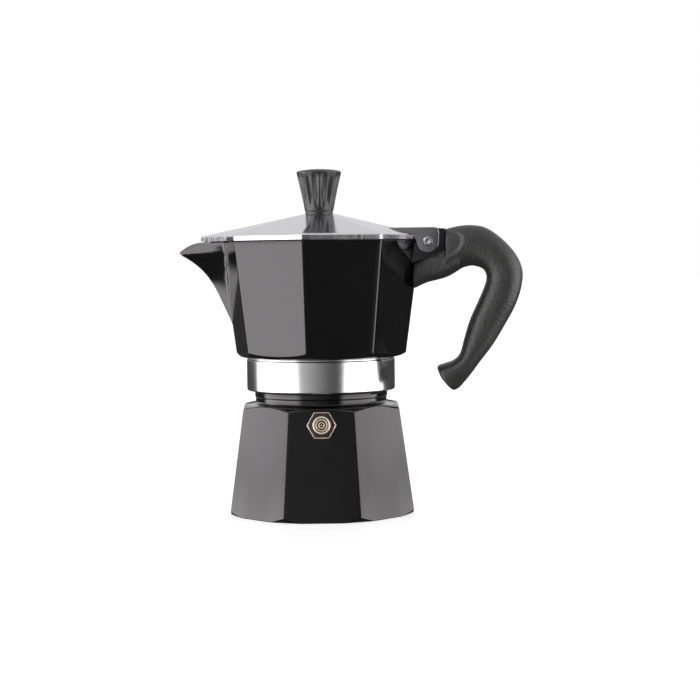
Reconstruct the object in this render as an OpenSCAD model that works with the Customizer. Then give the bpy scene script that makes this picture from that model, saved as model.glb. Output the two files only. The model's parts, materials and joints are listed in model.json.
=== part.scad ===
// Stovetop moka pot, three-cup class.
// The origin is on the pot's axis at the base plane, +Z is up, the handle points to +X and the spout to -X.

/* [Boiler] */
// Corner radius of the boiler's octagon at the base
boiler_base_r = 46; // [40:0.5:56]
// Height of the boiler's shoulder
boiler_h = 51; // [42:0.5:62]
// Inward lean of the boiler's corners, in mm per mm of height
boiler_taper = 0.145; // [0.12:0.005:0.155]
// Wall and floor of the boiler
boiler_wall = 3; // [2.5:0.1:3.4]
// Turn of the boiler's octagon about the pot's axis
boiler_turn = -13.2; // [-22:0.1:22]

/* [Neck thread] */
// Root radius of the boiler's thread
neck_r = 29.2; // [27.5:0.1:29.8]
// Height of the neck above the shoulder
neck_h = 15; // [12:0.5:19]
// Wall of the neck at the thread root
neck_wall = 2.2; // [1.8:0.1:2.6]
// Rise of the thread in one turn
thread_pitch = 4; // [3.6:0.1:4.4]
// Depth of each thread ridge
thread_depth = 1.2; // [0.9:0.1:1.4]
// Radial gap between the two threads
thread_gap = 0.35; // [0.3:0.05:0.45]

/* [Funnel] */
// Thickness of the funnel's sheet
funnel_sheet = 0.8; // [0.6:0.1:1]
// Depth of the coffee basket
basket_depth = 21; // [14:0.5:24]
// Outer radius of the funnel's stem
stem_r = 5; // [4:0.1:6.5]
// Gap between the stem's end and the boiler's floor
stem_foot_gap = 5; // [3:0.5:8]
// Holes in the innermost ring of the strainer and of the filter plate
hole_ring_count = 6; // [5:1:7]

/* [Collector] */
// Corner radius of the collector's octagon at the rim
rim_r = 47.3; // [43:0.1:54]
// Inward lean of the collector's corners, in mm per mm of depth
collector_taper = 0.136; // [0.12:0.004:0.148]
// Height of the collector above its bright band
collector_h = 54; // [46:0.5:64]
// Wall of the collector
collector_wall = 2.6; // [2.2:0.1:3.2]
// Wall of the bright band outside the thread's socket
band_wall = 3.85; // [3:0.05:5.5]
// Height of the bright band
band_h = 15; // [14:0.5:17]
// Gap between the boiler's shoulder and the band
neck_gap = 6.2; // [5.5:0.1:6.8]
// Height of the coffee column above the collector's floor
column_h = 37; // [28:0.5:42]
// Reach of the spout's tip past the collector's corner
spout_reach = 20.5; // [16:0.5:24]
// Half the width of the spout where it leaves the rim
spout_half = 10; // [8:0.5:13]

/* [Lid] */
// Thickness of the lid's rim
lid_rim_h = 3; // [2.6:0.1:3.6]
// Rise of the lid from its rim to the knob's seat
lid_rise = 9.8; // [7:0.1:13]
// Thickness of the lid's sheet
lid_sheet = 1.3; // [1:0.1:1.6]
// Reach of the lid's nose past the collector's corner
nose_reach = 9.3; // [7:0.1:12]
// Height of the knob
knob_h = 20.8; // [16:0.1:26]
// Radius of the knob's top
knob_top_r = 10.4; // [9:0.1:12]
// Radius of the knob's foot
knob_foot_r = 6.4; // [5.5:0.1:7]

/* [Hinge and handle] */
// Distance of the hinge pin past the collector's rim corner
pin_reach = 4.1; // [3.8:0.1:4.8]
// Radius of the hinge pin
pin_r = 1.4; // [1.2:0.1:1.6]
// Width of the collector's lug between the lid's ears
lug_w = 9.5; // [8.5:0.1:11]
// Width of the handle
handle_w = 17; // [15.5:0.1:20]
// Length of the handle's grip, from the lug's top to its tail
handle_drop = 75; // [66:0.5:86]
// Radius of the pin that holds the handle
handle_pin_r = 1.5; // [1.2:0.1:1.8]

/* [Safety valve] */
// Height of the valve's axis where it meets the boiler's face
valve_z = 43.4; // [36:0.1:44]
// Width across the flats of the valve's hexagon
valve_flats = 11.6; // [10:0.1:12]
// Travel of the valve's piston
valve_travel = 1.2; // [0.8:0.1:1.3]

/* [Hidden] */
$fn = 96;

// Gap of a running fit, of a loose fit and the small overlap used when cutting
fit_gap = 0.05;
loose_gap = 0.35;
cut = 0.5;

octagon_flat = cos(22.5);

// Heights of the stack, from the shoulder up
band_z = boiler_h + neck_gap;
neck_top = boiler_h + neck_h;
funnel_rim_t = 1;
gasket_z = neck_top + funnel_rim_t;
gasket_t = 2.6;
seat_z = gasket_z + gasket_t + 0.6;
floor_z = seat_z + 2.4;
floor_t = 3;
body_z = band_z + band_h;
rim_z = body_z + collector_h;
lid_top = rim_z + lid_rim_h + lid_rise;

// Radii of the stack
crest_r = neck_r + thread_depth;
socket_r = crest_r + thread_gap;
band_r = socket_r + band_wall;
neck_bore = neck_r - neck_wall;
basket_r = neck_bore - loose_gap;
basket_floor = gasket_z - basket_depth;
stem_bottom = boiler_wall + stem_foot_gap;
chamber_r = neck_bore;
knob_seat_r = knob_foot_r + 0.6;

// The hinge and the handle are placed from the rim's corner
pin_x = rim_r + pin_reach;
pin_z = rim_z - 0.6;
ear_t = 1.2;
ear_y = lug_w / 2 + 0.15;
lug_r = 6.1;
lug_end = pin_x + 7.8;
lug_root_z = rim_z - 10.6;
lug_tip_z = rim_z - 5.2;
tenon_l = 10;
tenon_h = 7;
tenon_w = 4.6;
tenon_z = pin_z - 2.5;
handle_pin_x = lug_end + 5.6;

// The valve leans with the boiler's face
valve_turn = boiler_turn - 67.5;
valve_lean = atan(boiler_taper * octagon_flat);
valve_face_r = (boiler_base_r - boiler_taper * valve_z) * octagon_flat;
valve_shank_r = 4.4;
valve_bore_r = 1.6;
valve_chamber_r = 2.8;
valve_hex_h = 3.6;
valve_shank_l = 6.5;

// Point of a smooth curve through p, at a share t of the way from point i to point i + 1
function curve_point(p, i, t) =
    let (k = len(p), a = p[(i + k - 1) % k], b = p[i], c = p[(i + 1) % k], d = p[(i + 2) % k])
    0.5 * (2 * b + (c - a) * t + (2 * a - 5 * b + 4 * c - d) * t * t + (3 * b - a - 3 * c + d) * t * t * t);
function smooth_open(p, n) = let (q = concat([2 * p[0] - p[1]], p, [2 * p[len(p) - 1] - p[len(p) - 2]]))
    [for (i = [1:len(p) - 1]) for (s = [0:n - 1]) curve_point(q, i, s / n), p[len(p) - 1]];
function unit(v) = v / norm(v);
// Points a moved by d towards the points b, at most 0.42 of the way
function drawn_in(a, b, d) =
    [for (i = [0:len(a) - 1]) let (v = b[i] - a[i]) a[i] + v * min(0.42, d / norm(v))];
function reversed(p) = [for (i = [len(p) - 1:-1:0]) p[i]];

// Faces between m rings of n points each
function ring_sides(n, m) = [
    for (j = [0:m - 2]) for (i = [0:n - 1])
        let (a = j * n + i, b = j * n + (i + 1) % n)
        each [[a, b + n, b], [a, a + n, b + n]]
];

// Solid through rings of points, listed anticlockwise from above, with convex ends
module loft(rings) {
    n = len(rings[0]);
    m = len(rings);
    polyhedron([for (r = rings) each r], concat(
        [[for (i = [0:n - 1]) i]], [[for (i = [n - 1:-1:0]) (m - 1) * n + i]], ring_sides(n, m)));
}

// The same, with ends that are strips between the first half of the ring and the second
module strip_loft(rings) {
    n = len(rings[0]);
    m = len(rings);
    last = (m - 1) * n;
    ends = [for (i = [0:n / 2 - 2]) let (a = i, b = i + 1, c = n - 2 - i, d = n - 1 - i)
        each [[a, b, c], [a, c, d], [last + c, last + b, last + a], [last + d, last + c, last + a]]];
    polyhedron([for (r = rings) each r], concat(ends, ring_sides(n, m)));
}

// Eight-sided frustum with corner radius r1 at z1 and r2 at z2
module octagon_frustum(r1, z1, r2, z2) {
    translate([0, 0, z1]) cylinder(r1 = r1, r2 = r2, h = z2 - z1, $fn = 8);
}

// Helical ridge on a cylinder of radius r: depth is positive outward, its root is sunk by sink, and it
// fades into the cylinder over a few steps at each end
module thread_ridge(r, depth, sink, z_start, turns) {
    steps = 36;
    n = round(turns * steps);
    root = 0.29 * thread_pitch;
    crest = 0.14 * thread_pitch;
    side = sign(depth);
    function station(i) =
        let (a = 360 * i / steps, z = z_start + thread_pitch * i / steps,
             fade = min(1, (i - 0.6) / 4, (n - i - 0.6) / 4), top = r + depth * fade, low = r - side * sink)
        [[low, z - root], [top, z - crest], [top, z + crest], [low, z + root]];
    function placed(i) = let (a = 360 * i / steps)
        [for (q = station(i)) [q[0] * cos(a), q[0] * sin(a), q[1]]];
    points = [for (i = [0:n]) each placed(i)];
    skin = [for (i = [0:n - 1]) for (k = [0:3])
        let (a = 4 * i + k, b = 4 * i + (k + 1) % 4) each [[a, b, b + 4], [a, b + 4, a + 4]]];
    ends = [[3, 2, 1, 0], [4 * n, 4 * n + 1, 4 * n + 2, 4 * n + 3]];
    turned = [for (f = concat(skin, ends)) [for (q = [len(f) - 1:-1:0]) f[q]]];
    polyhedron(points, side > 0 ? concat(skin, ends) : turned);
}

// ---- Boiler ----

module boiler_outside() {
    top_r = boiler_base_r - boiler_taper * boiler_h;
    intersection() {
        rotate([0, 0, boiler_turn]) octagon_frustum(boiler_base_r, 0, top_r, boiler_h);
        rotate_extrude() polygon([
            [0, 0], [boiler_base_r * octagon_flat + 0.9, 0], [boiler_base_r + 0.2, 2.8],
            [boiler_base_r + 0.2, boiler_h - 8], [top_r + 0.2, boiler_h - 2],
            [top_r * octagon_flat - 0.2, boiler_h - 0.5], [crest_r, boiler_h], [0, boiler_h]
        ]);
    }
    translate([0, 0, boiler_h - cut]) cylinder(r = crest_r + 0.2, h = neck_gap - 0.4 + cut);
    translate([0, 0, boiler_h]) cylinder(r = neck_r, h = neck_h);
}

module boiler_inside() {
    low_r = (boiler_base_r - boiler_taper * boiler_wall) * octagon_flat - boiler_wall;
    high_r = (boiler_base_r - boiler_taper * (boiler_h - 7)) * octagon_flat - boiler_wall;
    rotate_extrude() polygon([
        [0, boiler_wall], [low_r - 3, boiler_wall], [low_r, boiler_wall + 3],
        [high_r, boiler_h - 7], [neck_bore, boiler_h - 2], [neck_bore, neck_top + cut],
        [0, neck_top + cut]
    ]);
}

module boiler() color("#1a1a1c") difference() {
    union() {
        boiler_outside();
        thread_ridge(neck_r, thread_depth, 0.4, band_z + 1.6, (neck_top - band_z - 3.2) / thread_pitch);
    }
    boiler_inside();
    at_valve() translate([0, 0, -valve_shank_l - 3]) cylinder(r = valve_shank_r, h = valve_shank_l + 6);
    rotate_extrude() translate([boiler_base_r * 0.7, 0]) circle(r = 0.6, $fn = 24);
}

// ---- Safety valve: its own +Z runs outward, from zero on the boiler's face ----

module at_valve() {
    rotate([0, 0, valve_turn]) translate([valve_face_r, 0, valve_z]) rotate([0, 90 - valve_lean, 0])
        children();
}

valve_seal_t = 0.8;
valve_front = valve_seal_t + valve_hex_h;
spring_room = valve_front - 1.2;
piston_seat = spring_room - valve_travel - 2.4;

module valve_body() color("#c9b48a") at_valve() difference() {
    union() {
        intersection() {
            translate([0, 0, valve_seal_t]) rotate([0, 0, 30])
                cylinder(r = valve_flats / 2 / cos(30), h = valve_hex_h, $fn = 6);
            rotate_extrude() polygon([
                [0, 0], [valve_flats, 0], [valve_flats / 2 + 0.8, valve_front - 0.7],
                [valve_flats / 2 - 0.2, valve_front], [0, valve_front]
            ]);
        }
        translate([0, 0, -valve_shank_l]) cylinder(r = valve_shank_r, h = valve_shank_l + valve_seal_t);
    }
    translate([0, 0, piston_seat]) cylinder(r = valve_chamber_r, h = valve_front - piston_seat + cut);
    translate([0, 0, -valve_shank_l - cut]) cylinder(r = valve_bore_r, h = valve_shank_l + valve_front);
    translate([0, 0, valve_front - 0.25]) difference() {
        cylinder(r = valve_chamber_r + 1.5, h = cut);
        translate([0, 0, -cut]) cylinder(r = valve_chamber_r + 0.8, h = 3 * cut);
    }
}

module valve_seal() color("#802020") at_valve() difference() {
    cylinder(r = valve_flats / 2 - 0.2, h = valve_seal_t);
    translate([0, 0, -cut]) cylinder(r = valve_shank_r, h = valve_seal_t + 2 * cut);
}

module valve_retainer() color("#b9a67e") at_valve() translate([0, 0, spring_room]) difference() {
    cylinder(r = valve_chamber_r, h = 0.9);
    translate([0, 0, -cut]) cylinder(r = valve_bore_r, h = 0.9 + 2 * cut);
}

// Coil between the piston's head and the retainer
module valve_spring() color("#d8d8d8") at_valve() {
    wire_r = 0.25;
    coil_r = valve_chamber_r - wire_r - 0.2;
    low = piston_seat + 1 + wire_r;
    rise = spring_room - low - wire_r;
    turns = 2.5;
    steps = 24 * turns;
    loft([for (i = [0:steps])
        let (a = 360 * turns * i / steps, z = low + rise * i / steps)
        [for (k = [0:5]) let (b = -60 * k)
            [(coil_r + wire_r * cos(b)) * cos(a), (coil_r + wire_r * cos(b)) * sin(a), z + wire_r * sin(b)]]]);
}

module valve_piston() color("#d8c8a0") at_valve() {
    translate([0, 0, piston_seat]) cylinder(r = valve_chamber_r - fit_gap, h = 1);
    translate([0, 0, piston_seat]) cylinder(r = valve_bore_r - fit_gap, h = valve_front - piston_seat - 0.4);
}

// ---- Funnel ----

module funnel() color("#c9cbd0") {
    t = funnel_sheet;
    low_r = stem_r;
    rotate_extrude() polygon([
        [low_r, stem_bottom], [low_r, basket_floor - 6], [basket_r - 4, basket_floor - 1.5],
        [basket_r, basket_floor + 1.5], [basket_r, neck_top], [neck_r, neck_top],
        [neck_r, gasket_z], [basket_r - t, gasket_z], [basket_r - t, basket_floor + 3],
        [basket_r - t - 1, basket_floor + 3], [basket_r - t - 1, basket_floor + 2],
        [basket_r - 4 - t, basket_floor - 0.6], [low_r - t, basket_floor - 5.4], [low_r - t, stem_bottom]
    ]);
}

module perforated_disc(r, t, rings) {
    difference() {
        cylinder(r = r, h = t);
        for (ring = [1:rings], i = [0:hole_ring_count * ring - 1])
            rotate([0, 0, 360 * i / (hole_ring_count * ring)]) translate([r * ring / (rings + 1.2), 0, -cut])
                cylinder(r = 0.7, h = t + 2 * cut, $fn = 16);
    }
}

module funnel_strainer() color("#b8babf")
    translate([0, 0, basket_floor + 3]) perforated_disc(basket_r - funnel_sheet, 0.6, 4);

// ---- Gasket and upper filter ----

gasket_bore = neck_r - 3.8;
filter_ring_gap = (gasket_bore - 2.4) / 5;

module gasket() color("#e8e4d8") translate([0, 0, gasket_z]) difference() {
    cylinder(r = neck_r + 0.2, h = gasket_t);
    translate([0, 0, -cut]) cylinder(r = gasket_bore, h = gasket_t + 2 * cut);
}

module filter_plate() color("#bfc1c6") {
    difference() {
        union() {
            translate([0, 0, gasket_z + 0.8]) cylinder(r = gasket_bore, h = seat_z - gasket_z - 0.8);
            translate([0, 0, seat_z - 0.6]) cylinder(r = neck_r, h = 0.6);
        }
        translate([0, 0, gasket_z + 1.4]) cylinder(r = gasket_bore - 0.8, h = gasket_t + 2);
        for (ring = [1:4], i = [0:hole_ring_count * ring - 1])
            rotate([0, 0, 360 * i / (hole_ring_count * ring)]) translate([filter_ring_gap * ring, 0, gasket_z])
                cylinder(r = 0.7, h = gasket_t, $fn = 16);
    }
}

// ---- Collector ----

function collector_corner(z) = rim_r - collector_taper * (rim_z - z);

// Spout: a wedge whose crest runs from the tip down to the collector's corner
spout_low = rim_z - 38;
spout_tip = rim_r + spout_reach;
spout_tip_z = rim_z - 5.4;

// Reach of the spout's crest at height z
function spout_crest(z) =
    let (u = min(1, max(0, (z - spout_low) / (spout_tip_z - spout_low))))
    collector_corner(z) + (spout_tip - collector_corner(z)) * (0.45 * u + 0.55 * pow(u, 5));
function spout_width(z) =
    1.5 + (spout_half - 1.5) * pow(min(1, max(0, (z - spout_low) / (rim_z - spout_low))), 1.3);

// Sections of the spout, moved in by wall
function spout_ring(z, wall) =
    let (x = spout_crest(z) - 1.9 * wall, w = max(0.3, spout_width(z) - wall), back = collector_corner(z) - 9)
    [[-x, 0, z], [-collector_corner(z) * octagon_flat + 2, -w, z], [-back, -w, z],
     [-back, w, z], [-collector_corner(z) * octagon_flat + 2, w, z]];
module spout_solid(wall, over) {
    levels = [for (i = [0:16]) spout_low + (rim_z + over - spout_low) * i / 16];
    loft([for (z = levels) spout_ring(z, wall)]);
}

// Cuts the spout's top from the rim down to the tip
module spout_top_cut() {
    translate([0, 30, 0]) rotate([90, 0, 0]) linear_extrude(60) polygon([
        [-rim_r - 10.5, rim_z], [-rim_r - 14.2, rim_z - 1], [-rim_r - 16.6, rim_z - 2.6],
        [-spout_tip, spout_tip_z - 0.3], [-spout_tip - 5, spout_tip_z], [-spout_tip - 5, rim_z + 5],
        [-rim_r - 10.5, rim_z + 5]
    ]);
}

module collector_outside() {
    low_z = body_z - 2;
    intersection() {
        octagon_frustum(collector_corner(low_z), low_z, rim_r, rim_z);
        rotate_extrude() polygon(concat(
            [[0, body_z - 1], [band_r - 0.3, body_z - 1], [band_r - 0.3, body_z]],
            [for (a = [0:10:80]) [band_r + 7.6 * sin(a), body_z + 0.4 + 5.4 * (1 - cos(a))]],
            [[rim_r + 1, body_z + 20], [rim_r + 1, rim_z], [0, rim_z]]));
    }
    difference() {
        spout_solid(0, 0);
        spout_top_cut();
    }
    translate([0, 0, band_z]) cylinder(r = band_r, h = band_h);
    collector_lug();
}

// Lug for the lid's hinge, with the tenon that holds the handle
module collector_lug() {
    translate([0, lug_w / 2, 0]) rotate([90, 0, 0]) linear_extrude(lug_w) union() {
        polygon([
            [rim_r - 4, lug_root_z - 0.4], [lug_end, lug_tip_z], [lug_end, pin_z + lug_r - 0.2],
            [pin_x, pin_z + lug_r - 0.1], [pin_x, rim_z - 1], [rim_r - 4, rim_z - 1]
        ]);
        translate([pin_x, pin_z]) circle(r = lug_r);
    }
    translate([lug_end - cut, -tenon_w / 2, tenon_z - tenon_h / 2]) cube([tenon_l + cut, tenon_w, tenon_h]);
}

module collector_inside() {
    in_z = floor_z + floor_t;
    intersection() {
        octagon_frustum(collector_corner(in_z) - collector_wall / octagon_flat, in_z,
                        rim_r - collector_wall / octagon_flat, rim_z + 0.01);
        rotate_extrude() polygon([
            [0, in_z], [band_r - collector_wall, in_z], [band_r + 3, in_z + 3.4],
            [rim_r, in_z + 16], [rim_r, rim_z + 1], [0, rim_z + 1]
        ]);
    }
}

// The collector's floor with the coffee column that stands on it
column_foot_r = 9;
column_top_r = 6;
column_top = floor_z + floor_t + column_h;

module column() color("#8f9094") difference() {
    rotate_extrude() polygon([
        [5.9, floor_z], [chamber_r, floor_z], [chamber_r, floor_z + floor_t],
        [column_foot_r, floor_z + floor_t], [column_top_r, column_top], [3.4, column_top + 2.5],
        [0, column_top + 2.5], [0, column_top - 0.6], [3.2, column_top - 0.6]
    ]);
    translate([-1.6, -10, column_top - 5]) cube([3.2, 20, 2.4]);
}

// The castings' outer shell, with the spout, before it is divided
module collector_casting() difference() {
    collector_outside();
    collector_inside();
    difference() {
        spout_solid(collector_wall, 1);
        cylinder(r = rim_r * 0.7, h = rim_z + 9);
    }
}

// The space in front of the collector's corner where the spout stands
spout_root_x = rim_r - spout_half * tan(22.5) + 0.1;

module spout_space()
    translate([-spout_tip - 1, -rim_r, spout_low]) cube([spout_tip + 1 - spout_root_x, 2 * rim_r, collector_h]);

module spout() color("#161618") intersection() {
    collector_casting();
    spout_space();
}

module collector() color("#161618") {
    difference() {
        collector_casting();
        spout_space();
        translate([0, 0, band_z - cut]) cylinder(r = socket_r, h = seat_z - band_z + cut);
        translate([0, 0, band_z]) cylinder(r = chamber_r, h = floor_z + floor_t - band_z + cut);
        for (y = [-lug_w, lug_w]) translate([pin_x, y, pin_z]) rotate([90, 0, 0])
            cylinder(r = pin_r + fit_gap, h = 4 * lug_w, center = true);
        translate([handle_pin_x, 0, tenon_z]) rotate([90, 0, 0])
            cylinder(r = handle_pin_r, h = 2 * lug_w, center = true);
    }
    thread_ridge(socket_r, -thread_depth, 0.4, band_z + 1.6 + thread_pitch / 2,
                 (neck_top - band_z - 3.2) / thread_pitch - 0.5);
}

// ---- Handle ----

// Stations down the handle: a point of its outer side and one of its inner side, from the lug's end
drop = handle_drop / 75;
grip_x = lug_end;
top_z = pin_z + lug_r - 0.3;
handle_stations = [
    [0.3, 0, 0.3, -22], [6, 1.2, 4.4, -19.6], [12, 1.5, 8, -18], [18, 0.4, 11.4, -17.2],
    [24, -3.4, 14.4, -17.6], [29.6, -8.8, 16.8, -18.6], [33.4, -14.4, 18.2, -20.4],
    [35.2, -20.5, 18.6, -23.2], [34.4, -28, 17.2, -27.6], [31.6, -36, 14.4, -34],
    [27, -44.4, 10.8, -42], [21.4, -53.6, 8.2, -50.4], [15, -62, 6.2, -57.4],
    [11, -67.4, 3, -60.6], [8, -71, -1.4, -62.2], [5.6, -73.6, -4.4, -63.6], [3.2, -74.8, -3, -67.6]
];
outer_side = [for (q = handle_stations) [grip_x + q[0], top_z + q[1] * drop]];
inner_side = [for (q = handle_stations) [grip_x + q[2], top_z + q[3] * drop]];

// Rounded slab with the handle's outline
module handle_shell() {
    half = handle_w / 2;
    edge = 3.2;
    outer = smooth_open(outer_side, 4);
    inner = smooth_open(inner_side, 4);
    levels = concat(
        [for (a = [0:18:90]) [-half + edge * (1 - cos(a)), edge * (1 - sin(a))]],
        [for (a = [90:-18:0]) [half - edge * (1 - cos(a)), edge * (1 - sin(a))]]);
    strip_loft([for (q = levels)
        [for (p = concat(drawn_in(outer, inner, q[1]), reversed(drawn_in(inner, outer, q[1]))))
            [p[0], q[0], p[1]]]]);
}

// Toe of the handle that reaches under the lug to the collector's wall
module handle_toe() {
    toe_w = lug_w + 3;
    wall_x = rim_r - 4;
    translate([0, toe_w / 2, 0]) rotate([90, 0, 0]) linear_extrude(toe_w) polygon([
        [wall_x, lug_root_z - 0.5], [lug_end + 0.2, lug_tip_z - 0.1], [lug_end + 4, lug_tip_z - 0.1],
        [lug_end + 4, rim_z - 15], [wall_x, rim_z - 22.4]
    ]);
}

module handle() color("#1d1d1f") difference() {
    union() {
        handle_shell();
        handle_toe();
    }
    translate([lug_end - 3, -tenon_w / 2 - fit_gap, tenon_z - tenon_h / 2 - fit_gap])
        cube([tenon_l + 3.4, tenon_w + 2 * fit_gap, tenon_h + 2 * fit_gap]);
    translate([handle_pin_x, 0, tenon_z]) rotate([90, 0, 0])
        cylinder(r = handle_pin_r, h = 2 * handle_w, center = true);
    octagon_frustum(collector_corner(rim_z - 30) + 0.3, rim_z - 30, rim_r + 0.3, rim_z);
}

module handle_pin() color("#9a9a9c") translate([handle_pin_x, 0, tenon_z]) rotate([90, 0, 0])
    cylinder(r = handle_pin_r, h = handle_w - 4, center = true);

// ---- Lid and hinge ----

module hinge_pin() color("#c4c4c8") translate([pin_x, 0, pin_z]) rotate([90, 0, 0]) {
    cylinder(r = pin_r, h = 2 * (ear_y + ear_t) + 0.6, center = true);
    for (side = [-1, 1]) translate([0, 0, side * (ear_y + ear_t + 0.5)])
        cylinder(r = pin_r + 0.9, h = 0.7, center = true);
}

lid_r = rim_r + 0.2;
nose_x = rim_r + nose_reach;
nose_half = spout_half + 10;
lid_z = rim_z + 0.1;

module lid_blank(in) {
    top = rim_z + lid_rim_h;
    octagon_frustum(lid_r - in / octagon_flat, lid_z, lid_r - in / octagon_flat, top - in);
    octagon_frustum(lid_r - in / octagon_flat, top - in, knob_seat_r, lid_top - in);
    side_y = nose_half - in;
    side_x = -lid_r + tan(22.5) * nose_half + 1.2 * in;
    nose = [[-nose_x + 2.4 * in, 0], [side_x, -side_y], [-lid_r * 0.5, 0], [side_x, side_y]];
    peak = [[-knob_seat_r, 0], [-knob_seat_r + 0.4, -1], [-knob_seat_r + 2, 0], [-knob_seat_r + 0.4, 1]];
    loft([
        [for (q = nose) [q[0], q[1], lid_z]],
        [for (q = nose) [q[0], q[1], top - in]],
        [for (q = peak) [q[0], q[1], lid_top - in]]
    ]);
}

// Folded bracket: a flat web on the lid, turned down into an ear on each side of the lug
module lid_bracket() {
    web_top = pin_z + lug_r + 0.4;
    web_end = pin_x - lug_r - 0.3;
    arm_y = ear_y + ear_t;
    translate([web_end - 13, -arm_y, web_top - ear_t]) cube([13, 2 * arm_y, ear_t]);
    for (side = [-1, 1]) translate([0, side > 0 ? arm_y : -ear_y, 0]) rotate([90, 0, 0])
        linear_extrude(ear_t) difference() {
            union() {
                polygon([
                    [web_end - 13, web_top - ear_t], [web_end - 13, web_top], [pin_x + 3.6, web_top],
                    [pin_x + 4.8, web_top - 0.6], [pin_x + 5.2, web_top - 2], [pin_x + 5.2, pin_z],
                    [pin_x - 5.6, pin_z], [pin_x - 6.6, rim_z + 1.2], [web_end - 6, rim_z + 1.2]
                ]);
                translate([pin_x - 0.2, pin_z]) circle(r = 5.4);
            }
            translate([pin_x, pin_z]) circle(r = pin_r + fit_gap);
        }
}

module lid() color("#cdcbd4") {
    difference() {
        union() {
            difference() {
                lid_blank(0);
                difference() {
                    translate([0, 0, -0.02]) lid_blank(lid_sheet);
                    translate([0, 0, lid_top - 3.4]) cylinder(r = knob_foot_r, h = 4);
                }
            }
            lid_bracket();
        }
        translate([0, 0, rim_z]) cylinder(r = knob_bolt_r + loose_gap, h = lid_rise + 9);
        translate([pin_x - lug_r - 0.25, -ear_y, rim_z - 1]) cube([3 * lug_r, 2 * ear_y, 3 * lug_r]);
    }
}

// ---- Knob ----

knob_bolt_r = 2;

module knob_profile() {
    polygon(concat(
        [[0, 0], [knob_foot_r, 0], [knob_foot_r, 0.8], [knob_foot_r - 0.3, 1], [knob_foot_r, 1.3]],
        [for (u = [0.1:0.1:0.9])
            [knob_foot_r + (knob_top_r - 1 - knob_foot_r) * pow(u, 1.1), 1.3 + (knob_h - 4.1) * u]],
        [[knob_top_r, knob_h - 2.6], [knob_top_r, knob_h - 1.3], [knob_top_r - 0.8, knob_h - 0.5],
         [knob_top_r * 0.5, knob_h], [0, knob_h]]));
}

module knob() color("#151517") translate([0, 0, lid_top]) difference() {
    rotate_extrude() knob_profile();
    for (i = [0:9]) rotate([0, 0, 36 * i]) translate([knob_top_r + 0.3, 0, knob_h - 2.9])
        rotate([0, 180 - atan((knob_top_r - knob_foot_r) / knob_h) - 6, 0])
            cylinder(r1 = 1.7, r2 = 0.3, h = knob_h - 5, $fn = 24);
    translate([0, 0, -cut]) cylinder(r = knob_bolt_r, h = 11 + cut);
}

module knob_screw() color("#b0b0b4") {
    translate([0, 0, lid_top - 5.3]) cylinder(r = 3.8, h = 1.2);
    translate([0, 0, lid_top - 4.2]) cylinder(r = knob_bolt_r, h = 14.2);
}

module knob_washer() color("#a8a8ac") translate([0, 0, lid_top - 4.1]) difference() {
    cylinder(r = 5.2, h = 0.7);
    translate([0, 0, -cut]) cylinder(r = knob_bolt_r + 0.2, h = 0.7 + 2 * cut);
}

boiler();
valve_body();
valve_seal();
valve_spring();
valve_retainer();
valve_piston();
funnel();
funnel_strainer();
gasket();
filter_plate();
collector();
column();
spout();
handle();
handle_pin();
hinge_pin();
lid();
knob();
knob_screw();
knob_washer();
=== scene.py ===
# %% [markdown]
# # A stovetop moka pot
# This file builds the looks of an eight-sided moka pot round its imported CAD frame. The frame gives every
# place and size, so the first cell loads it and keeps its box. Lengths in this file are in millimetres, as a
# maker would say them, and become metres when a mesh is made.

# %% Load the frame
import json
import math

import bmesh
import bpy
import numpy as np
from mathutils import Matrix, Vector


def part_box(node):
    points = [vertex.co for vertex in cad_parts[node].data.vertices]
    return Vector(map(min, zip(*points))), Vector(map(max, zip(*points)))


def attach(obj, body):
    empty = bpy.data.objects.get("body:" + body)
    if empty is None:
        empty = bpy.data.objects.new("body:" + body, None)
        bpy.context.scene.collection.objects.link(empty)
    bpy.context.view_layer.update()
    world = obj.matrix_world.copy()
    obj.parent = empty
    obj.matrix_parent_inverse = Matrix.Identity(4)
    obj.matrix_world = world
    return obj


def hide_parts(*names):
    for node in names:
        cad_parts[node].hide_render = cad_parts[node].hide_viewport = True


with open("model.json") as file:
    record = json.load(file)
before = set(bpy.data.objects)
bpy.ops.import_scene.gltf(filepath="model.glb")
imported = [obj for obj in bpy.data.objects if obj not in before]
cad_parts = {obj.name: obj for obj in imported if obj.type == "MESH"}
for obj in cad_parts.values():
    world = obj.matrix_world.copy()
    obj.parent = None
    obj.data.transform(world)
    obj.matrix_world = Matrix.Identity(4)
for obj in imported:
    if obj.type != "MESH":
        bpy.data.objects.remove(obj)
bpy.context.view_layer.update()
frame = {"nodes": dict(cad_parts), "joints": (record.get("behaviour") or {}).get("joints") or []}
MM = 0.001


def span(node):
    """Lowest and highest corner of a CAD node, in millimetres."""
    low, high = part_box(node)
    return low / MM, high / MM


# %% [markdown]
# ## Sizes read from the frame
# The pot is a stack: boiler, band, collector, lid, knob. The heights of the stack, the collector's width and
# the hinge's place come from the boxes of the CAD nodes. What a box can't tell is a number of its own.

# %% Measure the stack
collector_low, collector_high = span("collector")
knob_low, knob_high = span("knob")
pin_low, pin_high = span("hinge_pin")

NECK_TOP = span("boiler")[1].z
BAND_Z = collector_low.z
BAND_TOP = BAND_Z + 15
SEAT_Z = span("filter_plate")[1].z
RIM_R = collector_high.y
PIN = (pin_low + pin_high) / 2
RIM_Z = PIN.z + 0.6
LID_TOP = knob_low.z
NOSE = -span("lid")[0].x
SPOUT_TIP = -span("spout")[0].x
GRIP_HALF = span("handle")[1].y
NECK_R = 29.2
BORE_R = 27.0
BAND_R = 34.6
COLLECTOR_WALL = 2.6
BODY_TAPER = 0.136
BOILER_R = 46.0
BOILER_TAPER = 0.145
BOILER_TURN = math.radians(-13.2)
SHOULDER_Z = NECK_TOP - 15
print("rim at %.1f mm, lid's top at %.1f mm, spout's tip at %.1f mm" % (RIM_Z, LID_TOP, -SPOUT_TIP))

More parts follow.
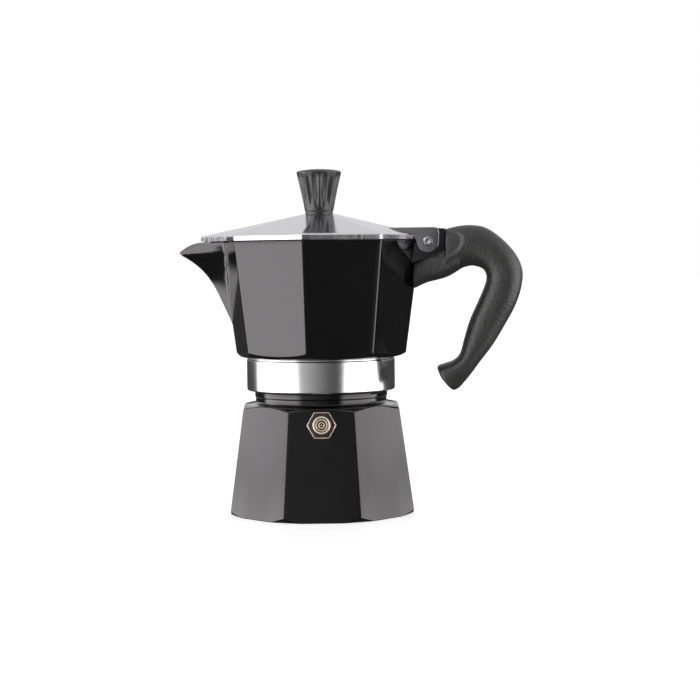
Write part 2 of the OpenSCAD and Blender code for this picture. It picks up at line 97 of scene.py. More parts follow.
# %% [markdown]
# ## Shader maths as Python
# A material here is a recipe of noise, ramps and arithmetic. Wiring Math nodes by hand hides the recipe, so
# one small class wraps a socket and turns an expression such as `1 - mask * 0.3` into its Math nodes. Every
# other node comes from one method, `add`, which takes settings first and then socket values or links.

# %% The socket class and the material workshop


class Value:
    """A socket that arithmetic can be done on."""

    def __init__(self, shop, socket):
        self.shop, self.socket = shop, socket

    def _math(self, operation, *others, swap=False):
        parts = [self, *others]
        if swap:
            parts.reverse()
        return self.shop.add("ShaderNodeMath", {"operation": operation}, dict(enumerate(parts)))["Value"]

    def __add__(self, other):
        return self._math("ADD", other)

    def __sub__(self, other):
        return self._math("SUBTRACT", other)

    def __rsub__(self, other):
        return self._math("SUBTRACT", other, swap=True)

    def __mul__(self, other):
        return self._math("MULTIPLY", other)

    def __truediv__(self, other):
        return self._math("DIVIDE", other)

    def __pow__(self, other):
        return self._math("POWER", other)

    __radd__, __rmul__ = __add__, __mul__

    def maths(self, operation, *others):
        """Any other Math operation, such as SINE or MAXIMUM."""
        return self._math(operation, *others)

    def unit(self):
        """The value held between zero and one."""
        return self.maths("MAXIMUM", 0.0).maths("MINIMUM", 1.0)


class Workshop:
    """Adds nodes to one tree."""

    def __init__(self, tree):
        self.tree = tree

    def add(self, kind, settings=None, sockets=None):
        """Makes a node: its settings first, then the values or links of its input sockets."""
        made = self.tree.nodes.new(kind)
        for key, value in (settings or {}).items():
            setattr(made, key, value)
        self.feed(made, sockets or {})
        return {s.name: Value(self, s) for s in reversed(made.outputs) if s.enabled}

    def feed(self, node, sockets):
        """Sets the input sockets of a node to values or links."""
        for key, value in sockets.items():
            if isinstance(value, Value):
                self.tree.links.new(value.socket, node.inputs[key])
            else:
                node.inputs[key].default_value = value

    def vector(self, operation, *parts):
        """The result of a Vector Math node, a vector or a number."""
        made = self.add("ShaderNodeVectorMath", {"operation": operation}, dict(enumerate(parts)))
        return next(iter(made.values()))


def start_material(name):
    """A new material with a Principled shader, its workshop and the piece's own coordinates."""
    material = bpy.data.materials.new(name)
    material.use_nodes = True
    shop = Workshop(material.node_tree)
    shader = material.node_tree.nodes["Principled BSDF"]
    place = shop.add("ShaderNodeTexCoord")["Object"]
    return material, shop, shader, place


def noise(shop, place, size, detail, stretch=(1, 1, 1)):
    """Noise whose blobs are about size millimetres across, stretched along the axes."""
    scaled = shop.add("ShaderNodeMapping", {}, {"Vector": place, "Scale": stretch})["Vector"]
    return shop.add("ShaderNodeTexNoise", {}, {
        "Vector": scaled, "Scale": 1 / (size * MM), "Detail": detail, "Roughness": 0.5})["Fac"]


def blend_colour(shop, factor, first, second):
    """Mixes two colours by a factor. Sockets 6 and 7 are the Mix node's pair of colours."""
    return shop.add("ShaderNodeMix", {"data_type": "RGBA"}, {
        "Factor": factor, 6: (*first, 1), 7: (*second, 1)})["Result"]


def bump(shop, shader, height, depth, strength):
    """Raises the surface by height times depth, in millimetres."""
    made = shop.add("ShaderNodeBump", {}, {"Height": height, "Distance": depth * MM, "Strength": strength})
    shop.feed(shader, made)


# %% [markdown]
# ## Gloss black paint
# The boiler and the collector are cast aluminium under a hard black enamel. It is nearly a mirror, but a
# sprayed coat is never quite flat: a slow ripple, called orange peel, bends the edges of its reflections.
# The colour is almost black, so all of the look is in the coat's reflection and in that ripple.

# %% Black paint


def make_black_paint():
    material, shop, shader, place = start_material("black_paint")
    peel = noise(shop, place, 5.0, 2.0)
    dust = noise(shop, place, 0.35, 2.0)
    haze = noise(shop, place, 22.0, 3.0)
    shop.feed(shader, {
        "Base Color": blend_colour(shop, haze, (0.0035, 0.0034, 0.0036), (0.0075, 0.0072, 0.0074)),
        "Roughness": haze * 0.05 + dust * 0.03 + 0.055, "IOR": 1.52, "Coat Weight": 0.35,
        "Coat Roughness": 0.04, "Specular Tint": (1.0, 0.94, 0.98, 1)})
    bump(shop, shader, peel * 0.8 + dust * 0.05, 0.02, 0.35)
    return material


black_paint = make_black_paint()
print("made", black_paint.name)

# %% [markdown]
# ## Turned and cast aluminium
# The band is cut on a lathe, so very fine grooves run round it and stretch each reflection up and down. The
# lid is buffed sheet with a soft grain, and the inside of the collector is left as cast, paler and rougher.
# One function with a few numbers makes them all.

# %% Aluminium


def make_aluminium(name, colour, rough, groove=0.0, grain=0.0, cast=0.0):
    material, shop, shader, place = start_material(name)
    clouds = noise(shop, place, 9.0, 4.0)
    lines = noise(shop, place, 0.5, 3.0, (0.05, 0.05, 1.6))
    pits = noise(shop, place, 0.6, 3.0)
    dark = tuple(c * 0.86 for c in colour)
    shop.feed(shader, {
        "Base Color": blend_colour(shop, clouds * 0.5 + lines * 0.4, dark, colour),
        "Roughness": clouds * 0.08 + pits * 0.05 + (rough - 0.05), "Metallic": 1.0})
    height = lines * groove + pits * grain + noise(shop, place, 2.4, 4.0) * cast
    bump(shop, shader, height, 0.05, 0.6)
    return material


turned = make_aluminium("turned_aluminium", (0.88, 0.88, 0.89), 0.17, groove=0.05)
buffed = make_aluminium("buffed_aluminium", (0.83, 0.82, 0.87), 0.13, grain=0.05)
rolled = make_aluminium("rolled_edge", (0.86, 0.85, 0.88), 0.16, grain=0.6, cast=4.0)
polished = make_aluminium("polished_aluminium", (0.32, 0.31, 0.33), 0.15, grain=1.2)
cast = make_aluminium("cast_aluminium", (0.70, 0.70, 0.71), 0.42, grain=0.5, cast=0.6)
print("made", turned.name, buffed.name, polished.name, cast.name)

# %% [markdown]
# ## Moulded black plastic
# The handle and the knob are a phenolic or nylon moulding with a fine spark-eroded grain. The grain scatters
# light, so the sheen is broad, and the hand polishes it a little where it is held.

# %% Black plastic


def make_black_plastic(name, rough, grain_size, grain_depth):
    material, shop, shader, place = start_material(name)
    grain = noise(shop, place, grain_size, 2.0)
    worn = noise(shop, place, 14.0, 3.0)
    shop.feed(shader, {
        "Base Color": blend_colour(shop, worn, (0.018, 0.017, 0.0165), (0.028, 0.0268, 0.0258)),
        "Roughness": worn * 0.12 + grain * 0.08 + (rough - 0.1), "IOR": 1.55, "Specular IOR Level": 0.7})
    bump(shop, shader, grain, grain_depth, 0.8)
    return material


handle_plastic = make_black_plastic("handle_plastic", 0.4, 0.9, 0.3)
knob_plastic = make_black_plastic("knob_plastic", 0.38, 0.5, 0.03)
print("made", handle_plastic.name, knob_plastic.name)

# %% [markdown]
# ## Valve brass, steel and rubber
# The safety valve is nickel-washed brass, warm and dark brown, with painted highlights: pale rings on its
# turned ridges and round the hexagon's rim. Pins, screw and spring are plain steel. The gasket and the
# valve's seal are off-white silicone rubber, dull and faintly mottled.

# %% Small metals and rubber


def land(distance, at, half_width):
    """One where the distance is at this value, falling to zero at half its width to each side."""
    return 1 - ((distance - at).maths("ABSOLUTE") / half_width).maths("MINIMUM", 1.0)


def make_brass(middle, axis):
    """Dark brown brass with painted highlights: pale rings on its turned ridges and its hexagon's rim."""
    material, shop, shader, place = start_material("valve_brass")
    fine = noise(shop, place, 0.25, 3.0)
    arm = shop.vector("SUBTRACT", place, middle)
    distance = shop.vector("LENGTH", shop.vector("CROSS_PRODUCT", arm, axis)) * 1000.0
    level = Vector((0, 0, 1)).cross(axis).normalized()
    reach = []
    for turn in (math.radians(30), math.radians(90), math.radians(150)):
        flat = level * math.cos(turn) + axis.cross(level) * math.sin(turn)
        reach.append(shop.vector("DOT_PRODUCT", arm, flat).maths("ABSOLUTE"))
    side = reach[0].maths("MAXIMUM", reach[1]).maths("MAXIMUM", reach[2]) * 1000.0
    # The mask of painted highlight: the hexagon's outer rim, and a ring at the radius of each turned ridge.
    painted_highlight = ((side - 5.4) / 0.3).unit()
    for at, half in ((0.0, 0.4), (1.3, 0.42), (2.5, 0.42), (3.6, 0.55)):
        painted_highlight = painted_highlight.maths("MAXIMUM", land(distance, at, half))
    painted_highlight = (painted_highlight * 1.6).maths("MINIMUM", 1.0) * (0.85 + fine * 0.3)
    # Pale brass where highlight is painted and dark brown elsewhere; the painted highlight is also rougher
    # and less metallic.
    shop.feed(shader, {
        "Base Color": blend_colour(shop, painted_highlight, (0.20, 0.14, 0.11), (0.95, 0.83, 0.70)),
        "Roughness": painted_highlight * 0.3 + 0.16, "Metallic": 1 - painted_highlight * 0.55})
    bump(shop, shader, fine, 0.01, 0.5)
    return material


def make_steel():
    material, shop, shader, place = start_material("pin_steel")
    clouds = noise(shop, place, 2.0, 4.0)
    scratch = noise(shop, place, 0.3, 2.0, (1, 0.1, 1))
    shop.feed(shader, {
        "Base Color": blend_colour(shop, clouds, (0.42, 0.42, 0.43), (0.66, 0.66, 0.67)),
        "Roughness": clouds * 0.1 + scratch * 0.1 + 0.2, "Metallic": 1.0})
    bump(shop, shader, scratch, 0.01, 0.5)
    return material


def make_rubber():
    material, shop, shader, place = start_material("seal_rubber")
    mottle = noise(shop, place, 3.0, 3.0)
    skin = noise(shop, place, 0.4, 2.0)
    shop.feed(shader, {
        "Base Color": blend_colour(shop, mottle, (0.62, 0.59, 0.52), (0.76, 0.74, 0.68)),
        "Roughness": mottle * 0.1 + 0.55})
    bump(shop, shader, skin, 0.03, 0.5)
    return material


valve_joint = next(j for j in frame["joints"] if j["name"] == "valve_relief")
VALVE_AXIS = Vector(valve_joint["axis"]).normalized()
seal_low, seal_high = span("valve_seal")
VALVE_FOOT = (seal_low + seal_high) / 2 - VALVE_AXIS * 0.4
brass, steel, rubber = make_brass(VALVE_FOOT * MM, VALVE_AXIS), make_steel(), make_rubber()
print("made", brass.name, steel.name, rubber.name)

# %% [markdown]
# ## One way to make every turned shape
# Almost every piece of this pot was turned on a lathe or cast in a mould that was. Such a piece is a profile
# carried round the axis. On the eight-sided pieces the profile changes with the angle, because a facet is
# nearer to the axis than a corner. So one function asks for the profile at each angle and skins the results.
# The mesh lines then follow the arcs where the lathe cut the octagon, and glossy edges stay clean.

# %% Skinning round the axis


def add_object(name, data):
    """An object with this data, in the scene."""
    made = bpy.data.objects.new(name, data)
    bpy.context.scene.collection.objects.link(made)
    return made


def smooth(mesh, degrees):
    """Smooth shading with a sharp edge wherever two faces meet at more than this angle."""
    mesh.shade_smooth()
    mesh.set_sharp_from_angle(angle=math.radians(degrees))


def finish_mesh(name, points, faces, material, marks=None, smooth_angle=32):
    """A mesh object from points in millimetres. marks gives each face the index of its material."""
    mesh = bpy.data.meshes.new(name)
    mesh.from_pydata([tuple(c * MM for c in p) for p in points], [], faces)
    for one in material if isinstance(material, list) else [material]:
        mesh.materials.append(one)
    if marks is not None:
        mesh.polygons.foreach_set("material_index", marks)
    mesh.update()
    smooth(mesh, smooth_angle)
    return add_object(name, mesh)


def settle(piece, body, slot, *nodes):
    """Rides the piece on its body and hides the CAD nodes it stands for. The slot is not used."""
    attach(piece, body)
    if nodes:
        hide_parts(*nodes)
    print("%s: %d faces on %s" % (piece.name, len(piece.data.polygons), body))


def rounded(profile, radius, steps=4):
    """The profile with each inner corner replaced by a small arc."""
    p = [np.array(q, float) for q in profile]
    out = [p[0]]
    for a, b, c in zip(p, p[1:], p[2:]):
        before, after = np.linalg.norm(a - b), np.linalg.norm(c - b)
        reach = min(radius, 0.45 * before, 0.45 * after)
        start = b + (a - b) * reach / max(before, 1e-9)
        end = b + (c - b) * reach / max(after, 1e-9)
        for i in range(steps + 1):
            t = i / steps
            out.append((1 - t) ** 2 * start + 2 * t * (1 - t) * b + t * t * end)
    return out + [p[-1]]


def skin_round(name, angles, profile_at, material, mark_at=None, closed=False, smooth_angle=32):
    """Carries a profile round +Z. profile_at(angle) gives its (radius, height) points, outside first from
    below, so that faces point outwards. A point at radius 0 is a pole."""
    columns = [profile_at(a) for a in angles]
    n, m = len(angles), len(columns[0])
    points, index = [], {}
    for j in range(m):
        for i, a in enumerate(angles):
            r, z = columns[i][j]
            if r < 1e-6 and i:
                index[i, j] = index[0, j]
                continue
            index[i, j] = len(points)
            points.append((r * math.cos(a), r * math.sin(a), z))
    faces, marks = [], []
    for j in range(m if closed else m - 1):
        for i in range(n):
            right, above = (i + 1) % n, (j + 1) % m
            ring = [index[i, j], index[right, j], index[right, above], index[i, above]]
            face = list(dict.fromkeys(ring))
            if len(face) > 2:
                faces.append(face)
                marks.append(mark_at(j) if mark_at else 0)
    return finish_mesh(name, points, faces, material, marks, smooth_angle)


def even_angles(count):
    return [2 * math.pi * i / count for i in range(count)]


print("skinning ready")

# %% [markdown]
# ## The octagon with soft corners
# A cast facet meets the next in a corner of about a millimetre's radius, and that corner is what draws the
# thin bright line down the pot. The polar radius of such an octagon has a closed form: a straight side is
# `a / cos(angle)`, and past the tangent point the ray meets the corner's circle.

# %% Octagon geometry
EIGHTH = math.pi / 4
FLAT = math.cos(EIGHTH / 2)
SIDE_STEPS, CORNER_STEPS = 14, 6


def octagon(angle, fillet):
    """Radius of an octagon of corner radius 1 with a corner at angle 0 and corners rounded by fillet."""
    off = abs((angle % EIGHTH) - EIGHTH / 2)
    inner = FLAT - fillet
    if off <= math.atan(inner * math.tan(EIGHTH / 2) / FLAT):
        return FLAT / math.cos(off)
    centre = inner / FLAT
    delta = EIGHTH / 2 - off
    return centre * math.cos(delta) + math.sqrt(fillet ** 2 - (centre * math.sin(delta)) ** 2)


def octagon_angles(fillet, extra=()):
    """Angles that put mesh columns on the tangent points, with extra ones added."""
    half = math.atan((FLAT - fillet) * math.tan(EIGHTH / 2) / FLAT)
    corner = EIGHTH - 2 * half
    found = set()
    for k in range(8):
        middle = EIGHTH * (k + 0.5)
        found.update(round(middle + half * (2 * i / SIDE_STEPS - 1), 9) for i in range(SIDE_STEPS + 1))
        found.update(round(middle + half + corner * i / CORNER_STEPS, 9) for i in range(1, CORNER_STEPS))
    found.update(round(a % (2 * math.pi), 9) for a in extra)
    ordered = sorted(a % (2 * math.pi) for a in found)
    return [a for a, b in zip(ordered, ordered[1:] + [ordered[0] + 2 * math.pi]) if b - a > 1e-5]


def meet(facet, lathe, low, high):
    """Height between low and high where the facet and the lathe's cut cross, by bisection."""
    sign = facet(low) > lathe(low)
    for _ in range(40):
        middle = (low + high) / 2
        if (facet(middle) > lathe(middle)) == sign:
            low = middle
        else:
            high = middle
    return (low + high) / 2


print("octagon ready: corner %.3f, side %.3f" % (octagon(0, 0.02), FLAT))

# %% [markdown]
# ## The boiler
# The boiler is an eight-sided cup that widens downwards. After casting, a lathe trims its foot and its
# shoulder, and where the round cut runs across flat facets it leaves the shallow scallops at both edges. The
# profile walks from the centre of the underside, out, up, over the neck and back down the inside.

# %% Boiler
PAINT_FILLET = 0.024


def boiler_profile(angle):
    reach = octagon(angle - BOILER_TURN, PAINT_FILLET)

    def facet(z):
        return reach * (BOILER_R - BOILER_TAPER * z)

    def foot(z):
        return BOILER_R * FLAT + 0.9 + z * 1.15

    def crown(z):
        return top_r + 1.0 + (SHOULDER_Z - 0.6 - z) * 2.3

    top_r = (BOILER_R - BOILER_TAPER * SHOULDER_Z) * FLAT
    low = meet(facet, foot, 0.0, 6.0) if facet(0) > foot(0) else 0.35
    high = meet(facet, crown, SHOULDER_Z - 6, SHOULDER_Z - 0.1)
    start = min(facet(0), foot(0))
    neck = NECK_R + 1.4
    outside = [(0, 0), (30.5, 0), (31.2, 0.5), (32.6, 0.5), (33.3, 0), (start - 0.2, 0), (facet(low), low),
               (facet(high), high), (min(facet(high), top_r) - 0.4, SHOULDER_Z - 0.25),
               (neck + 0.9, SHOULDER_Z + 0.1), (neck, SHOULDER_Z + 1.0),
               (neck, SHOULDER_Z + 3.0), (neck + 0.35, SHOULDER_Z + 3.4), (neck + 0.35, SHOULDER_Z + 5.8),
               (NECK_R, SHOULDER_Z + 5.9), (NECK_R, NECK_TOP), (BORE_R, NECK_TOP)]
    inside = [(BORE_R, SHOULDER_Z - 2), (33.4, SHOULDER_Z - 7), (39, 6), (36, 3), (0, 3)]
    return rounded(outside + inside, 0.9, ARC_STEPS)


ARC_STEPS = 3
PAINTED_CORNERS = 13
BARE_FROM = 1 + PAINTED_CORNERS * (ARC_STEPS + 1)
boiler_angles = [a + BOILER_TURN for a in octagon_angles(PAINT_FILLET)]
boiler = skin_round("boiler_casting", boiler_angles, boiler_profile, [black_paint, cast],
                    lambda j: int(j >= BARE_FROM))
settle(boiler, "boiler", "black_paint", "boiler")

# %% [markdown]
# ## The collector and its spout
# The collector is the same idea upside down, plus the spout: a wedge whose sides meet in a crest. Seen from
# above, a wedge has a simple polar radius too, so the outside is just the larger of octagon and wedge at
# each angle and height, softened a little where they meet. The wall, the floor and the hole for the column
# are part of the same closed profile.

# %% Spout geometry
SPOUT_LOW = RIM_Z - 38
SPOUT_TIP_Z = RIM_Z - 5.4


def corner_r(z):
    return RIM_R - BODY_TAPER * (RIM_Z - z)


def unit(value):
    """The value held between zero and one."""
    return min(1.0, max(0.0, value))


def soft_max(a, b, width):
    """The larger of a and b, with the change spread over width."""
    h = unit(0.5 + 0.5 * (a - b) / width)
    return b * (1 - h) + a * h + width * h * (1 - h)


def crest(z):
    """Reach of the spout's crest at height z."""
    u = unit((z - SPOUT_LOW) / (SPOUT_TIP_Z - SPOUT_LOW))
    return corner_r(z) + (SPOUT_TIP - corner_r(z)) * (0.45 * u + 0.55 * u ** 5)


def side_angle(angle):
    """Angle measured from the spout, from -pi to pi."""
    return (angle % (2 * math.pi)) - math.pi


def wedge(angle, z, wall=0.0):
    """Polar radius of the spout's wedge, moved in by wall, or 0 outside it."""
    off = abs(side_angle(angle))
    tip = crest(z) - 1.9 * wall
    base_x = corner_r(z) * FLAT - 2
    half = 1.5 + 8.5 * unit((z - SPOUT_LOW) / (RIM_Z - SPOUT_LOW)) ** 1.3 - wall
    if off > 1.2 or half <= 0 or z < SPOUT_LOW:
        return 0.0
    lean = math.atan2(half, tip - base_x)
    return tip * math.sin(lean) / math.sin(lean + off)


def outer_r(angle, z):
    flat = octagon(angle, PAINT_FILLET) * corner_r(z)
    beak = wedge(angle, z)
    return soft_max(flat, beak, 0.8) if beak > flat - 2 else flat


def inner_r(angle, z):
    flat = octagon(angle, 0.05) * (corner_r(z) - COLLECTOR_WALL / FLAT)
    beak = wedge(angle, z, COLLECTOR_WALL)
    return soft_max(flat, beak, 0.8) if beak > flat - 2 else flat


def lip_z(angle):
    """Height of the rim at an angle: it dips along the spout's lips to the tip."""
    z = RIM_Z
    for _ in range(30):
        x = outer_r(angle, z) * -math.cos(angle)
        past = max(0.0, x - RIM_R - 9.5)
        z = 0.5 * z + 0.5 * (RIM_Z - 0.05 * past - 0.045 * past ** 1.9)
    return z


print("spout's tip at %.1f, lip there at %.1f" % (crest(SPOUT_TIP_Z), lip_z(math.pi)))

# %% Collector casting
FLOOR_Z = SEAT_Z + 2.4
FLOOR_TOP = FLOOR_Z + 3
BELLY_Z = BAND_TOP + 0.4
BELLY_STEPS = (0, 0.2, 0.4, 0.6, 0.8, 0.93)
WALL_ROWS = 34


def belly(z):
    """The lathe's round cut under the collector."""
    return BAND_R + 7.6 * math.sin(math.acos(1 - unit((z - BELLY_Z) / 5.4)))


def collector_profile(angle):
    low = meet(lambda z: outer_r(angle, z), belly, BAND_TOP + 0.45, BAND_TOP + 8)
    top = lip_z(angle)
    cut = [(belly(z), z) for z in (BELLY_Z + (low - BELLY_Z) * t ** 2 for t in BELLY_STEPS)]
    outside = [(outer_r(angle, z), z) for z in np.linspace(low + 0.25, top - 0.4, WALL_ROWS)]
    mouth = [(outer_r(angle, top) - 0.12, top - 0.12), (outer_r(angle, top) - 0.5, top),
             (inner_r(angle, top) + 0.5, top), (inner_r(angle, top), top - 0.5)]
    inside = [(inner_r(angle, z), z) for z in np.linspace(top - 1, FLOOR_TOP + 7, WALL_ROWS // 2)]
    turn = [(inner_r(angle, FLOOR_TOP + 4) - 0.6, FLOOR_TOP + 3.4),
            (inner_r(angle, FLOOR_TOP + 3) - 2.2, FLOOR_TOP + 1.2), (31.5, FLOOR_TOP), (10.5, FLOOR_TOP),
            (5.9, FLOOR_TOP), (5.9, FLOOR_Z), (BORE_R - 0.4, FLOOR_Z), (BORE_R, BAND_TOP + 0.1),
            (BAND_R - 0.3, BAND_TOP + 0.1)]
    return [(BAND_R - 0.3, BAND_TOP + 0.2)] + cut + outside + mouth + inside + turn


spout_extra = [math.pi + math.radians(d) for d in np.arange(-27, 27.5, 1.0)]
spout_extra += [math.pi + math.radians(d) for d in np.arange(-2.75, 3, 0.5)]
PAINT_ROWS = 1 + len(BELLY_STEPS) + WALL_ROWS + 1
collector = skin_round("collector_casting", octagon_angles(PAINT_FILLET, spout_extra), collector_profile,
                       [black_paint, cast], lambda j: int(j >= PAINT_ROWS), closed=True)
settle(collector, "collector", "black_paint", "collector", "spout")

# %% [markdown]
# ## The band
# Under the collector sits its bare skirt, which carries the inner thread. It is turned bright, with a fine
# chamfer at each edge and a shallow relief where it meets the black paint. It is the same casting on the
# real pot, but a separate closed ring lets it have its own finish.

# %% Band


def band_profile(_):
    r, relief, socket, top = BAND_R, BAND_R - 0.35, NECK_R + 1.55, BAND_TOP + 0.15
    return rounded([(socket + 0.65, BAND_Z), (r - 0.5, BAND_Z), (r, BAND_Z + 0.5), (r, BAND_TOP - 0.8),
                    (relief, BAND_TOP - 0.45), (relief, top), (BORE_R, top), (BORE_R, SEAT_Z),
                    (socket, SEAT_Z), (socket, BAND_Z + 0.6), (socket + 0.65, BAND_Z)], 0.3, 3)[:-1]


band = skin_round("collector_band", even_angles(192), band_profile, turned, closed=True)
settle(band, "collector", "bright_aluminium")

# %% [markdown]
# ## The coffee column
# Coffee rises through a tapered column that is cast with the floor and leaves by two slots near its top. A
# lathe profile makes the tube, and two windows are cut through its wall with a Boolean, which is applied so
# that the piece stays a plain mesh.

# %% Column


def plain(piece):
    """Applies the piece's modifiers by taking the evaluated mesh, and removes them."""
    graph = bpy.context.evaluated_depsgraph_get()
    mesh = bpy.data.meshes.new_from_object(piece.evaluated_get(graph))
    piece.modifiers.clear()
    old, piece.data = piece.data, mesh
    mesh.name = piece.name
    bpy.data.meshes.remove(old)


def cut_box(piece, low, high):
    """Cuts a box between two corners, in millimetres, out of a piece."""
    points = [(x, y, z) for x in (low[0], high[0]) for y in (low[1], high[1]) for z in (low[2], high[2])]
    faces = [(0, 1, 3, 2), (4, 6, 7, 5), (0, 4, 5, 1), (2, 3, 7, 6), (0, 2, 6, 4), (1, 5, 7, 3)]
    cutter = finish_mesh("cutter", points, faces, piece.data.materials[0])
    knife = piece.modifiers.new("cut", "BOOLEAN")
    knife.object, knife.operation, knife.solver = cutter, "DIFFERENCE", "EXACT"
    plain(piece)
    bpy.data.objects.remove(cutter)


def make_column():
    top = FLOOR_TOP + 37
    low = FLOOR_Z + 1
    tube = skin_round("coffee_column", even_angles(64), lambda _: rounded(
        [(6, low), (9.6, low), (9.2, low + 3), (6, top), (3.6, top + 2.3), (0, top + 2.5)], 1.0)
        + rounded([(0, top - 0.8), (2.4, top - 1.2), (3.4, top - 3), (6, low)], 0.6), cast)
    cut_box(tube, (-1.6, -12, top - 5), (1.6, 12, top - 2.6))
    return tube


settle(make_column(), "collector", "cast_aluminium", "column")

# %% [markdown]
# ## Threads and spring by Geometry Nodes
# A thread and a coil spring are both one section carried along a helix, and both repeat turn after turn.
# That is a rule with a few numbers, so one function builds the Geometry Nodes trees for both: a spiral, a
# section, and a taper that lets a ridge fade in and out. A tree has named inputs, and its result becomes a
# plain mesh.

# %% The helix tree


def start_tree(tree, **sizes):
    """Gives a tree its inputs, with their usual values, and its output."""
    for label, value in sizes.items():
        socket = tree.interface.new_socket(label, in_out="INPUT", socket_type="NodeSocketFloat")
        socket.default_value = value
    tree.interface.new_socket("Geometry", in_out="OUTPUT", socket_type="NodeSocketGeometry")
    shop = Workshop(tree)
    return shop, shop.add("NodeGroupInput")


def end_tree(shop, geometry, material):
    """Ends a tree: its geometry gets a material and goes out as one real mesh."""
    whole = shop.add("GeometryNodeRealizeInstances", {}, {"Geometry": geometry})["Geometry"]
    done = shop.add("GeometryNodeSetMaterial", {}, {"Geometry": whole, "Material": material})["Geometry"]
    shop.add("NodeGroupOutput", {}, {"Geometry": done})


def make_helix_tree(name, material, square):
    """A tree that sweeps a trapezoid or a round section along a helix."""
    tree = bpy.data.node_groups.new(name, "GeometryNodeTree")
    shop, given = start_tree(tree, Radius=0.03, Turns=1.4, Rise=0.0056, Section=0.001, Fade=0.08)
    spiral = shop.add("GeometryNodeCurveSpiral", {}, {
        "Resolution": 72, "Rotations": given["Turns"], "Start Radius": given["Radius"],
        "End Radius": given["Radius"], "Height": given["Rise"], "Reverse": True})["Curve"]
    upright = shop.add("GeometryNodeSetCurveNormal", {"mode": "Z_UP"}, {"Curve": spiral})["Curve"]
    along = shop.add("GeometryNodeSplineParameter")["Factor"]
    fade = along.maths("MINIMUM", 1 - along) / given["Fade"]
    size = fade.maths("MINIMUM", 1.0).maths("MAXIMUM", 0.02)
    if square:
        section = shop.add("GeometryNodeCurvePrimitiveQuadrilateral", {"mode": "TRAPEZOID"}, {
            "Height": given["Section"] * 1.5, "Bottom Width": given["Section"] * 2.2,
            "Top Width": given["Section"] * 1.05, "Offset": 0.0})["Curve"]
    else:
        section = shop.add("GeometryNodeCurvePrimitiveCircle", {"mode": "RADIUS"}, {
            "Resolution": 12, "Radius": given["Section"]})["Curve"]
    sweep = {"Curve": upright, "Profile Curve": section, "Fill Caps": True}
    if square:
        sweep["Scale"] = size
    end_tree(shop, shop.add("GeometryNodeCurveToMesh", {}, sweep)["Mesh"], material)
    return tree


def from_tree(name, tree, sizes, place):
    """A plain mesh object from a tree, with its sizes in metres or plain numbers, moved into place."""
    piece = add_object(name, bpy.data.meshes.new(name))
    modifier = piece.modifiers.new(name, "NODES")
    modifier.node_group = tree
    for item in tree.interface.items_tree:
        if item.item_type == "SOCKET" and item.in_out == "INPUT" and item.name in sizes:
            modifier[item.identifier] = sizes[item.name]
    plain(piece)
    piece.data.transform(place)
    smooth(piece.data, 35)
    return outward(piece)


def outward(piece):
    """Turns the faces of a closed shell outwards."""
    shell = bmesh.new()
    shell.from_mesh(piece.data)
    bmesh.ops.remove_doubles(shell, verts=shell.verts, dist=1e-7)
    bmesh.ops.recalc_face_normals(shell, faces=shell.faces)
    shell.to_mesh(piece.data)
    shell.free()
    return piece


PITCH = 4.0
THREAD_Z = BAND_Z + 1.6
THREAD_TURNS = (NECK_TOP - BAND_Z - 3.2) / PITCH
thread_tree = make_helix_tree("thread_helix", cast, True)
spring_tree = make_helix_tree("spring_helix", steel, False)
print("trees:", thread_tree.name, spring_tree.name)

# %% Cut both threads


def make_thread(name, radius, start, turns):
    sizes = {"Radius": radius * MM, "Turns": turns, "Rise": turns * PITCH * MM, "Section": 1.0 * MM,
             "Fade": 0.07}
    return from_tree(name, thread_tree, sizes, Matrix.Translation((0, 0, start * MM)))


boiler_thread = make_thread("boiler_thread", NECK_R + 0.4, THREAD_Z, THREAD_TURNS)
settle(boiler_thread, "boiler", "cast_aluminium")
collector_thread = make_thread("collector_thread", NECK_R + 1.2, THREAD_Z + PITCH / 2, THREAD_TURNS - 0.5)
settle(collector_thread, "collector", "cast_aluminium")

# %% [markdown]
# ## The lid
# The lid is pressed sheet: an eight-sided roof that runs out over the spout in a nose, with a plain turned
# edge. The top is a straight line from the knob's seat to the edge at every angle, so each facet is flat,
# and the edge and the underside follow on the same closed profile. A notch in the edge clears the hinge's
# lug.

# %% Lid
LID_R = RIM_R + 0.2
LID_EDGE = RIM_Z + 3
LID_FILLET = 0.03
NOSE_HALF = 20.0
SHEET = 1.3
EDGE_ROWS = range(4, 8)


def lid_r(angle, inset=0.0):
    """Radius of the lid's edge at an angle, drawn in by inset."""
    flat = octagon(angle, LID_FILLET) * (LID_R - inset / FLAT)
    off = abs(side_angle(angle))
    half = NOSE_HALF - inset
    base = LID_R - math.tan(EIGHTH / 2) * NOSE_HALF - inset
    tip = NOSE - 2.2 * inset
    lean = math.atan2(half, tip - base)
    beak = tip * math.sin(lean) / math.sin(lean + off) if off < 1 else 0.0
    return soft_max(flat, beak, 0.5) if beak > flat - 1 else flat


def lid_profile(angle):
    """The underside from the axis out, the edge, and the top back to the axis."""
    edge, within = lid_r(angle), lid_r(angle, SHEET)
    low, seat, fall = RIM_Z + 0.1, 7.0, LID_TOP - LID_EDGE - 0.08
    under = [(0, LID_TOP - SHEET), (seat, LID_TOP - SHEET), (within, LID_EDGE - SHEET), (within, low)]
    rim = [(edge - 0.35, low), (edge, low + 0.4), (edge, LID_EDGE - 0.6), (edge - 0.3, LID_EDGE - 0.15)]
    slope = [(seat + (edge - 0.8 - seat) * t, LID_TOP - fall * t) for t in np.linspace(1, 0.04, 10)]
    return under + rim + slope + [(seat, LID_TOP - 0.05), (seat - 0.6, LID_TOP), (0, LID_TOP)]


lid_extra = [math.pi + math.radians(d) for d in np.arange(-30, 30.5, 1.0)]
lid = skin_round("lid_pressing", octagon_angles(LID_FILLET, lid_extra), lid_profile, [buffed, rolled],
                 lambda j: int(j in EDGE_ROWS), smooth_angle=12)
cut_box(lid, (PIN.x - 6.35, -4.9, RIM_Z - 1), (PIN.x + 9, 4.9, RIM_Z + 12))
settle(lid, "lid", "bright_aluminium", "lid")

